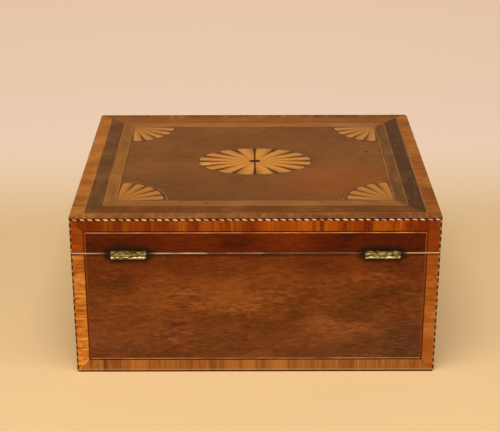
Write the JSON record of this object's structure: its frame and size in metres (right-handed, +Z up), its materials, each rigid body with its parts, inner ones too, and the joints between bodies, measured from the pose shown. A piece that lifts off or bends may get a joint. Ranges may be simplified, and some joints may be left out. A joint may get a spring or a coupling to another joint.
{
  "type": "hinged inlaid box",
  "caption": "Rectangular mahogany veneered box with a hinged lid, crossbanded edges, rope stringing, an oval fan inlay and quarter fans on the lid, brass stop hinges and a lock.",
  "frame": {"origin": "middle of the underside of the bottom board, where the box rests", "axes": "+X along the box, +Y from the lock side to the hinge side, +Z up"},
  "size_m": [0.305, 0.2562, 0.1436],
  "materials": {
    "carcass_wood": "sawn and planed mahogany and pine boards, unpolished inside",
    "mahogany_veneer": "old French polish over figured mahogany, worn to a soft sheen",
    "crossbanding": "polished kingwood and satinwood cut across the grain",
    "rosewood": "polished dark rosewood",
    "boxwood": "polished boxwood stringing",
    "ebony": "black-stained stringing",
    "satinwood": "sand-shaded satinwood petals",
    "rope_stringing": "light and dark slips set slantwise",
    "brass": "old brass, dull and grimy in the corners",
    "iron": "dark iron",
    "paper_lining": "plain old paper"
  },
  "bodies": {
    "base": {"base_back_board": "carcass_wood", "base_back_veneer": "mahogany_veneer", "base_boxwood_lines": "boxwood", "base_corner_ropes": "rope_stringing", "base_crossbanding": "crossbanding", "base_ebony_lines": "ebony", "base_floor_lining": "paper_lining", "base_front_board": "carcass_wood", "base_front_veneer": "mahogany_veneer", "base_left_board": "carcass_wood", "base_left_veneer": "mahogany_veneer", "base_right_board": "carcass_wood", "base_right_veneer": "mahogany_veneer", "base_wall_lining": "paper_lining", "bottom_board": "carcass_wood", "bottom_brads": "iron", "hinge_base_leaf_left": "brass", "hinge_base_leaf_right": "brass", "hinge_base_screws": "iron", "hinge_pin_left": "brass", "hinge_pin_right": "brass", "keyhole_escutcheon": "brass", "lock_case": "brass", "lock_drill_pin": "brass", "lock_plate": "brass", "lock_screws": "iron", "lock_spring": "iron"},
    "lid": {"fan_grounds": "mahogany_veneer", "fan_petals": "satinwood", "hinge_lid_leaf_left": "brass", "hinge_lid_leaf_right": "brass", "hinge_lid_screws": "iron", "inlay_borders": "boxwood", "lid_back_board": "carcass_wood", "lid_back_veneer": "mahogany_veneer", "lid_boxwood_lines": "boxwood", "lid_corner_ropes": "rope_stringing", "lid_crossbanding": "crossbanding", "lid_ebony_lines": "ebony", "lid_front_board": "carcass_wood", "lid_front_veneer": "mahogany_veneer", "lid_left_board": "carcass_wood", "lid_left_veneer": "mahogany_veneer", "lid_lining": "paper_lining", "lid_right_board": "carcass_wood", "lid_right_veneer": "mahogany_veneer", "lid_rim_edging": "boxwood", "lid_top_board": "carcass_wood", "lid_top_ropes": "rope_stringing", "link_plate": "brass", "link_plate_screws": "iron", "oval_ground": "mahogany_veneer", "oval_heart": "ebony", "oval_petals": "satinwood", "top_field_veneer": "mahogany_veneer", "top_inner_banding": "crossbanding", "top_outer_banding": "crossbanding", "top_rosewood_banding": "rosewood"},
    "bolt": {"lock_bolt": "brass"}
  },
  "joints": [
    {"name": "lid_hinge", "type": "hinge", "parent": "base", "child": "lid", "pos_m": [0, 0.1272, 0.111], "axis": [-1, 0, 0], "range_deg": [0, 95]},
    {"name": "lock_bolt_slide", "type": "slide", "parent": "base", "child": "bolt", "axis": [1, 0, 0], "range_m": [0, 0.005]}
  ]
}
